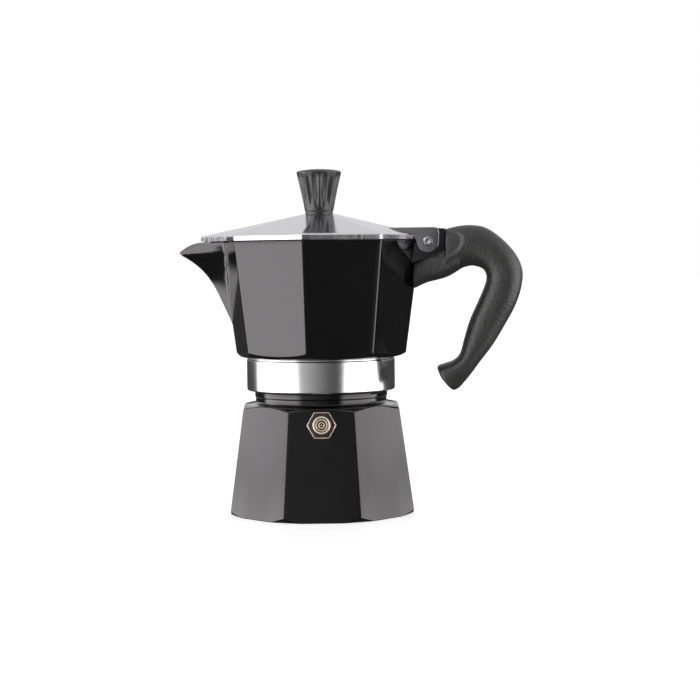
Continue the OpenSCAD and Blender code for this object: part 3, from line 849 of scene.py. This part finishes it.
# %% [markdown]
# ## The hinge
# The bracket is one strip of sheet, folded over the lug: a flat web on top and an ear at each side. The ears
# carry the pin. The lug belongs to the collector and is painted with it. Plates like these are an outline
# given a thickness, with a small bevel so that their edges catch the light.

# %% Plates from outlines


def arc(centre, radius, start, end, steps):
    """Points of an arc in the XZ plane, angles in degrees."""
    return [(centre[0] + radius * math.cos(math.radians(a)), centre[1] + radius * math.sin(math.radians(a)))
            for a in np.linspace(start, end, steps)]


def plate(name, outline, y_low, y_high, material, bevel):
    """An outline in the XZ plane made a solid between two values of Y, with bevelled edges."""
    n = len(outline)
    points = [(x, y_low, z) for x, z in outline] + [(x, y_high, z) for x, z in outline]
    faces = [list(range(n)), list(range(2 * n - 1, n - 1, -1))]
    faces += [[i + n, (i + 1) % n + n, (i + 1) % n, i] for i in range(n)]
    piece = finish_mesh(name, points, faces, material)
    outward(piece)
    edge = piece.modifiers.new("edge", "BEVEL")
    edge.width, edge.segments, edge.limit_method = bevel * MM, 3, "ANGLE"
    edge.angle_limit = math.radians(40)
    plain(piece)
    smooth(piece.data, 30)
    return piece


def joined(name, pieces):
    """Several meshes as one object."""
    whole = bmesh.new()
    for p in pieces:
        whole.from_mesh(p.data)
    mesh = bpy.data.meshes.new(name)
    whole.to_mesh(mesh)
    whole.free()
    for m in pieces[0].data.materials:
        mesh.materials.append(m)
    for p in pieces:
        bpy.data.objects.remove(p)
    smooth(mesh, 30)
    return add_object(name, mesh)


# %% Lug, bracket and pin
LUG_HALF = 4.75
LUG_END = PIN.x + 7.8
EAR_Y, EAR_T = LUG_HALF + 0.15, 1.2
WEB_TOP = PIN.z + 6.5

WEB_END = PIN.x - 6.4
WEB_START = WEB_END - 13

lug_outline = [(RIM_R - 4, RIM_Z - 11), (LUG_END, RIM_Z - 5.2), (LUG_END, PIN.z + 5.9), (PIN.x, PIN.z + 6.1),
               *arc((PIN.x, PIN.z), 6.1, 95, 182, 14), (RIM_R - 4, RIM_Z - 1)]
settle(plate("hinge_lug", lug_outline, -LUG_HALF, LUG_HALF, black_paint, 0.45), "collector", "black_paint")


def make_bracket():
    ear = arc((PIN.x - 0.2, PIN.z), 5.4, 180, 360, 22) + [
        (PIN.x + 5.2, WEB_TOP - 2.2), (PIN.x + 4.5, WEB_TOP - 0.7), (PIN.x + 3.2, WEB_TOP),
        (WEB_START, WEB_TOP), (WEB_START, WEB_TOP - 1), (PIN.x - 12.4, RIM_Z + 1.4), (WEB_END, RIM_Z + 1.4)]
    web_low = WEB_TOP - EAR_T
    web = [(WEB_START, web_low), (WEB_END, web_low), (WEB_END, WEB_TOP), (WEB_START, WEB_TOP)]
    web_half = EAR_Y + EAR_T - 0.1
    parts = [plate("web", web, -web_half, web_half, polished, 0.3)]
    parts += [plate("ear", ear, side * EAR_Y, side * (EAR_Y + EAR_T), polished, 0.5) for side in (-1, 1)]
    return joined("lid_bracket", parts)


settle(make_bracket(), "lid", "bright_aluminium")


def make_pin():
    """A rivet with a small rolled head at each end, turned about Z and then laid along Y."""
    half = EAR_Y + EAR_T
    head = [(1.4, half - 0.02), (2.1, half + 0.05), (2.15, half + 0.35), (1.6, half + 0.62),
            (0.9, half + 0.6), (0.5, half + 0.3), (0, half + 0.25)]
    profile = [(r, -z) for r, z in reversed(head)] + head
    pin = skin_round("hinge_pin_rivet", even_angles(40), lambda _: profile, steel, smooth_angle=50)
    pin.data.transform(Matrix.Translation(PIN * MM) @ Matrix.Rotation(math.pi / 2, 4, "X"))
    return pin


settle(make_pin(), "collector", "steel", "hinge_pin")

# %% [markdown]
# ## The handle
# The handle is one thick moulding that hooks over the lug and runs down to a flared tail. It is lofted from
# stations: at each one, an outer point and an inner point set the thickness, and a rounded section joins
# them. A short toe reaches under the lug. The two lofts are then fused with a voxel remesh and
# smoothed, which gives the soft root of a real moulding, and a thumb-sized dimple is pressed over the pin.

# %% Handle
GRIP_TOP = PIN.z + 5.8
STATIONS = [
    (0.3, 0, 0.3, -22), (6, 1.2, 4.4, -19.6), (12, 1.5, 8, -18), (18, 0.4, 11.4, -17.2),
    (24, -3.4, 14.4, -17.6), (29.6, -8.8, 16.8, -18.6), (33.4, -14.4, 18.2, -20.4),
    (35.2, -20.5, 18.6, -23.2), (34.4, -28, 17.2, -27.6), (31.6, -36, 14.4, -34), (27, -44.4, 10.8, -42),
    (21.4, -53.6, 8.2, -50.4), (15, -62, 6.2, -57.4), (11, -67.4, 3, -60.6), (8, -71, -1.4, -62.2),
    (5.6, -73.6, -4.4, -63.6), (3.2, -74.8, -3, -67.6)
]


def between(points, steps):
    """A smooth open curve through the points (Catmull-Rom)."""
    p = [np.array(q, float) for q in points]
    p = [2 * p[0] - p[1], *p, 2 * p[-1] - p[-2]]
    out = []
    for a, b, c, d in zip(p, p[1:], p[2:], p[3:]):
        for i in range(steps):
            t = i / steps
            out.append(0.5 * (2 * b + (c - a) * t + (2 * a - 5 * b + 4 * c - d) * t ** 2
                              + (3 * b - a - 3 * c + d) * t ** 3))
    return out + [p[-2]]


def loft_sections(name, rows, half_width, power, material, sides):
    """A closed loft. Each row is an outer and an inner point, with a rounded rectangle between them."""
    points, faces = [], []
    for k, row in enumerate(rows):
        outer, inner = row[:2], row[2:]
        middle, half = (outer + inner) / 2, (outer - inner) / 2
        for i in range(sides):
            a = 2 * math.pi * i / sides
            c, s = math.cos(a), math.sin(a)
            u = math.copysign(abs(c) ** (2 / power), c)
            v = math.copysign(abs(s) ** (2 / power), s)
            x, z = middle + half * u
            points.append((x, half_width(k / (len(rows) - 1)) * v, z))
    for start in range(0, (len(rows) - 1) * sides, sides):
        for i in range(sides):
            j = (i + 1) % sides
            faces.append([start + i, start + j, start + sides + j, start + sides + i])
    faces += [list(range(sides)), list(range(len(points) - 1, len(points) - sides - 1, -1))]
    return outward(finish_mesh(name, points, faces, material))


def make_handle():
    rows = [r + np.array([LUG_END, GRIP_TOP, LUG_END, GRIP_TOP]) for r in between(STATIONS, 5)]
    grip = loft_sections("grip", rows, lambda t: GRIP_HALF, 2.45, handle_plastic, 48)
    wall_x = RIM_R - COLLECTOR_WALL
    toe_rows = between([
        (wall_x, RIM_Z - 10.2, wall_x - 0.6, RIM_Z - 22.4),
        (LUG_END - 8, RIM_Z - 7.1, LUG_END - 9, RIM_Z - 19.6),
        (LUG_END + 0.4, RIM_Z - 4.4, LUG_END, RIM_Z - 17.2),
        (LUG_END + 7, RIM_Z - 4, LUG_END + 6.4, RIM_Z - 13.6)], 6)
    toe = loft_sections("toe", toe_rows, lambda t: 6.8 + 1.4 * t, 3.4, handle_plastic, 36)
    whole = joined("handle_moulding", [grip, toe])
    remesh = whole.modifiers.new("fuse", "REMESH")
    remesh.mode, remesh.voxel_size, remesh.use_smooth_shade = "VOXEL", 0.5 * MM, True
    soften = whole.modifiers.new("soften", "SMOOTH")
    soften.factor, soften.iterations = 0.5, 7
    plain(whole)
    press_dimples(whole)
    whole.data.materials.clear()
    whole.data.materials.append(handle_plastic)
    whole.data.shade_smooth()
    return whole


def press_dimples(piece):
    """Presses an oval hollow into each side, from the front edge to behind the pin of the handle."""
    centre = Vector((LUG_END + 0.4, 0, span("handle_pin")[0].z + 2.4))
    wide, tall, depth, lean = 9.4, 6.0, 0.75, math.radians(26)
    for v in piece.data.vertices:
        p = v.co / MM - centre
        along = p.x * math.cos(lean) + p.z * math.sin(lean)
        across = p.z * math.cos(lean) - p.x * math.sin(lean)
        reach = (along / wide) ** 2 + (across / tall) ** 2
        if reach < 1 and abs(p.y) > 5.5:
            rise = min(1.0, (1 - reach) * 2.2)
            v.co.y -= math.copysign(depth * MM * rise * rise * (3 - 2 * rise), p.y)


settle(make_handle(), "collector", "black_plastic", "handle")

# %% [markdown]
# ## The knob by Geometry Nodes
# The knob is a flared post with slim flutes that deepen towards the top and end in points. Its radius is a
# formula of height and angle, so the whole shape is one grid bent by that formula. The class that writes
# materials writes the formula too.

# %% Knob


def make_knob_tree():
    tree = bpy.data.node_groups.new("fluted_knob", "GeometryNodeTree")
    shop, given = start_tree(tree, Foot=0.0064, Top=0.01, Height=0.02, Flutes=8.0, Depth=0.0009)
    grid = shop.add("GeometryNodeMeshGrid", {}, {
        "Size X": 1.0, "Size Y": 1.0, "Vertices X": 281, "Vertices Y": 120})["Mesh"]
    position = shop.add("GeometryNodeInputPosition")["Position"]
    place = shop.add("ShaderNodeSeparateXYZ", {}, {"Vector": position})
    turn = (place["X"] + 0.5) * (2 * math.pi)
    walk = (place["Y"] + 0.5) * 1.5 - 0.15
    side = walk.unit()
    cap = ((walk - 1.0) / 0.35).unit()
    foot = ((walk + 0.15) / 0.15).unit()
    flare = (side / 0.96).maths("MINIMUM", 1.0)
    radius = given["Foot"] + (given["Top"] - given["Foot"]) * (flare ** 1.12)
    groove = land(side, 0.055, 0.022)
    brim = 1 - ((side - 0.96).maths("MAXIMUM", 0.0) / 0.04) ** 2 * 0.05
    wave = (turn * given["Flutes"]).maths("COSINE").maths("ABSOLUTE")
    width = 1 - (1 - side).maths("MAXIMUM", 0.0) * 0.75
    ridge = ((1 - wave) / width).maths("MINIMUM", 1.0)
    start = ((side - 0.12) / 0.3).unit()
    stop = ((0.95 - side) / 0.1).unit()
    flute = (1 - ridge ** 0.6) * start * stop * given["Depth"]
    out = (radius * brim - groove * 0.00035 - flute) * (1 - cap) * foot
    height = side * given["Height"] * 0.955 + (1 - (1 - cap) ** 2.2) * given["Height"] * 0.045
    point = shop.add("ShaderNodeCombineXYZ", {}, {
        "X": out * turn.maths("COSINE"), "Y": out * turn.maths("SINE"), "Z": height})["Vector"]
    bent = shop.add("GeometryNodeSetPosition", {}, {"Geometry": grid, "Position": point})["Geometry"]
    welded = shop.add("GeometryNodeMergeByDistance", {}, {"Geometry": bent, "Distance": 1e-6})["Geometry"]
    end_tree(shop, welded, knob_plastic)
    return tree


knob_sizes = {"Top": knob_high.y * MM, "Height": (knob_high.z - knob_low.z) * MM}
knob = from_tree("knob_moulding", make_knob_tree(), knob_sizes, Matrix.Translation((0, 0, knob_low.z * MM)))
settle(knob, "lid", "black_plastic", "knob")

# %% [markdown]
# ## The safety valve
# The valve is a hexagon with a chamfered face and turned rings that lead in to the piston. It leans with the
# facet that it is screwed into. It is skinned about its own axis and then laid along the axis that the
# frame's own joint gives.

# %% Valve


def valve_matrix():
    """Takes +Z to the valve's axis, with zero on the boiler's facet."""
    side = Vector((0, 0, 1)).cross(VALVE_AXIS).normalized()
    turn = Matrix((side, VALVE_AXIS.cross(side), VALVE_AXIS)).transposed().to_4x4()
    return Matrix.Translation(VALVE_FOOT * MM) @ turn


def hexagon(angle):
    """Radius of a hexagon of side distance 1 with corners left and right."""
    sixth = math.pi / 3
    off = abs((angle % sixth) - sixth / 2)
    return 1 / math.cos(off)


def ridge(r, z, size):
    """A half-round ring of a profile, from its outer side to its inner."""
    return [(r + size * math.cos(a), z + size * math.sin(a)) for a in np.linspace(0, math.pi, 9)]


def valve_profile(angle):
    hex_r = min(HEX_SIDE * hexagon(angle), HEX_CORNER)
    drop = max(0.0, hex_r - 6.0) * 0.7
    return [(4.4, -6.5), (4.4, 0.8), (hex_r - 0.15, 0.8), (hex_r, 0.95), (hex_r, HEX_FACE - drop - 0.45),
            (hex_r - 0.2, HEX_FACE - drop - 0.12), (hex_r - 0.5, HEX_FACE - 0.05), (hex_r - 0.65, HEX_FACE),
            (4.6, HEX_FACE), (4.5, HEX_FACE - 0.1), *ridge(3.6, HEX_FACE - 0.1, 0.42),
            (3.1, HEX_FACE - 0.3), (2.95, HEX_FACE - 0.3), (2.8, HEX_FACE - 0.5), (2.8, -0.4), (1.6, -0.4),
            (1.6, -6.5)]


def ring_profile(_):
    return rounded([(1.65, 3.2), (2.78, 3.2), (2.78, 3.7), *ridge(2.48, 3.8, 0.28), (2.1, 3.6), (1.65, 3.6),
                    (1.65, 3.3)], 0.03, 1)


def plunger_profile(_):
    return rounded([(0, -0.4), (2.75, -0.4), (2.75, 0.6), (1.52, 0.6), (1.52, 3.6), *ridge(1.2, 3.7, 0.26),
                    (0.85, 3.5), (0.45, 3.5), (0.25, 3.8), (0, 3.9)], 0.03, 1)


HEX_SIDE, HEX_CORNER, HEX_FACE = 5.8, 6.62, 4.3
VALVE_PLACE = valve_matrix()
for name, count, profile, closed, body, node in (
        ("valve_hexagon", 72, valve_profile, True, "boiler", "valve_body"),
        ("valve_ring", 64, ring_profile, True, "boiler", "valve_retainer"),
        ("valve_plunger", 48, plunger_profile, False, "valve", "valve_piston")):
    piece = skin_round(name, even_angles(count), profile, brass, closed=closed)
    piece.data.transform(VALVE_PLACE)
    settle(piece, body, "valve_brass", node)

coil = from_tree("valve_coil", spring_tree, {
    "Radius": 2.35 * MM, "Turns": 3.0, "Rise": 2.1 * MM, "Section": 0.24 * MM, "Fade": 0.01},
    VALVE_PLACE @ Matrix.Translation((0, 0, 0.85 * MM)))
settle(coil, "boiler", "steel", "valve_spring")

# %% [markdown]
# ## Pieces that stay as CAD made them
# The funnel, the strainer, the filter plate, the gasket and the small fasteners already have their true
# shape, with real holes. They keep their meshes and only get their finishes.

# %% Finish the carried-over nodes
FINISHES = {
    "funnel": cast, "funnel_strainer": cast, "filter_plate": cast, "gasket": rubber, "valve_seal": rubber,
    "handle_pin": steel, "knob_screw": steel, "knob_washer": steel
}
for node, finish in FINISHES.items():
    mesh = frame["nodes"][node].data
    mesh.materials.clear()
    mesh.materials.append(finish)
print("finished", len(FINISHES), "carried-over nodes")

# %% [markdown]
# ## The floor
# A pale floor that fades out of sight catches the pot's soft shadow and a faint mirror image of its foot. It
# is part of the stage and not of the pot.

# %% Floor


def make_floor():
    material, shop, shader, place = start_material("studio_floor")
    mottle = noise(shop, place, 60.0, 2.0)
    shop.feed(shader, {
        "Base Color": blend_colour(shop, mottle, (0.86, 0.86, 0.87), (0.89, 0.89, 0.89)),
        "Roughness": mottle * 0.05 + 0.3, "Specular IOR Level": 0.3, "Emission Color": (1, 1, 1, 1),
        "Emission Strength": 0.67})
    floor = outward(skin_round("studio_floor", even_angles(64), lambda _: [(9000, 0), (0, 0)], material))
    floor.visible_glossy = False


make_floor()

# %% [markdown]
# ## Light
# Gloss black shows nothing but what it reflects, so the light is the look. Round the pot stand two wide
# walls of light, from about 32 to 112 degrees to each side of the lens, with darkness between and behind
# them. The side facets and both flanks of the band pick up the walls, and the front facets stay black. The
# back of the room is white higher up, which is what the lid's slopes reflect. The walls are painted on
# the background as functions of direction, so they have clean edges and cost nothing to render.

# %% Lights and background


CAMERA_TURN = math.radians(8.4)
FILL_TURN = CAMERA_TURN - math.radians(60)


def add_fill():
    """A weak area light on the left, aimed at the pot's middle and unseen in reflections."""
    light = bpy.data.lights.new("fill_box", "AREA")
    light.shape, light.size, light.size_y, light.energy = "RECTANGLE", 1.2, 1.2, 1.2
    lamp = add_object("fill_box", light)
    lamp.location = (1.2 * math.sin(FILL_TURN), -1.2 * math.cos(FILL_TURN), 0.5)
    aim = Vector((0, 0, 0.1)) - lamp.location
    lamp.rotation_euler = aim.to_track_quat("-Z", "Y").to_euler()
    lamp.visible_glossy = False


add_fill()


def make_world():
    """White to the lens, even to matte surfaces, and walls of light to glossy ones."""
    world = bpy.data.worlds.new("studio")
    bpy.context.scene.world = world
    world.use_nodes = True
    world.cycles.sampling_method = "NONE"
    shop = Workshop(world.node_tree)
    world.node_tree.nodes.clear()
    way = shop.add("ShaderNodeTexCoord")["Generated"]

    def ramp(value, low, high):
        """Zero below low, one above high and a smooth step between."""
        return shop.add("ShaderNodeMapRange", {"interpolation_type": "SMOOTHSTEP"}, {
            "Value": value, "From Min": low, "From Max": high})["Result"]

    ahead = shop.vector("DOT_PRODUCT", way, (math.sin(CAMERA_TURN), -math.cos(CAMERA_TURN), 0))
    right = shop.vector("DOT_PRODUCT", way, (math.cos(CAMERA_TURN), math.sin(CAMERA_TURN), 0))
    height = shop.vector("DOT_PRODUCT", way, (0, 0, 1))
    turn = right.maths("ARCTAN2", ahead) * (180 / math.pi)
    wall_left = ramp(turn, -120, -106) * (1 - ramp(turn, -44, -31))
    wall_right = ramp(turn, 31, 44) * (1 - ramp(turn, 106, 117))
    level = ramp(height, -0.42, -0.33) * (1 - ramp(height, 0.45, 0.65))
    lower = 1 - ramp(height, -0.12, 0.05)
    skirt = ramp(turn, -120, -106) * (1 - ramp(turn, -50, 30)) * 0.5
    walls = (wall_left * (lower * 0.8 + 2.0) + wall_right * (lower * 0.6 + 2.0) + skirt) * level
    behind = ramp(1 - ahead, 0.8, 1.3) * ramp(height, 0.04, 0.14)
    above = ramp(height, 0.5, 0.75)
    reflected = walls + behind.maths("MAXIMUM", above) * 0.68 + 0.05
    path = shop.add("ShaderNodeLightPath")
    seen, glossy = path["Is Camera Ray"], path["Is Glossy Ray"]
    strength = seen + (1 - seen) * (glossy * reflected + (1 - glossy) * 0.5)
    light = shop.add("ShaderNodeBackground", {}, {"Color": (1, 1, 1, 1), "Strength": strength})["Background"]
    shop.add("ShaderNodeOutputWorld", {}, {"Surface": light})


make_world()
bpy.context.scene.view_settings.view_transform = "Standard"
print("lit")

# %% [markdown]
# ## Camera
# A long lens a little above the pot's middle, turned a few degrees so that the handle comes slightly
# forward.

# %% Camera
CAMERA_LENS = 87.4
CAMERA_DISTANCE = 0.796
CAMERA_TILT = math.radians(2.96)
CAMERA_ROLL = math.radians(-0.6)
AIM = Vector((0.0137 * math.cos(CAMERA_TURN), 0.0137 * math.sin(CAMERA_TURN), 0.0753))


def make_camera():
    data = bpy.data.cameras.new("camera")
    data.lens = CAMERA_LENS
    camera = add_object("camera", data)
    level = Vector((math.sin(CAMERA_TURN), -math.cos(CAMERA_TURN), 0))
    back = level * math.cos(CAMERA_TILT) + Vector((0, 0, math.sin(CAMERA_TILT)))
    camera.location = AIM + back * CAMERA_DISTANCE
    turn = (-back).to_track_quat("-Z", "Y").to_matrix() @ Matrix.Rotation(CAMERA_ROLL, 3, "Z")
    camera.rotation_euler = turn.to_euler()
    bpy.context.scene.camera = camera


make_camera()
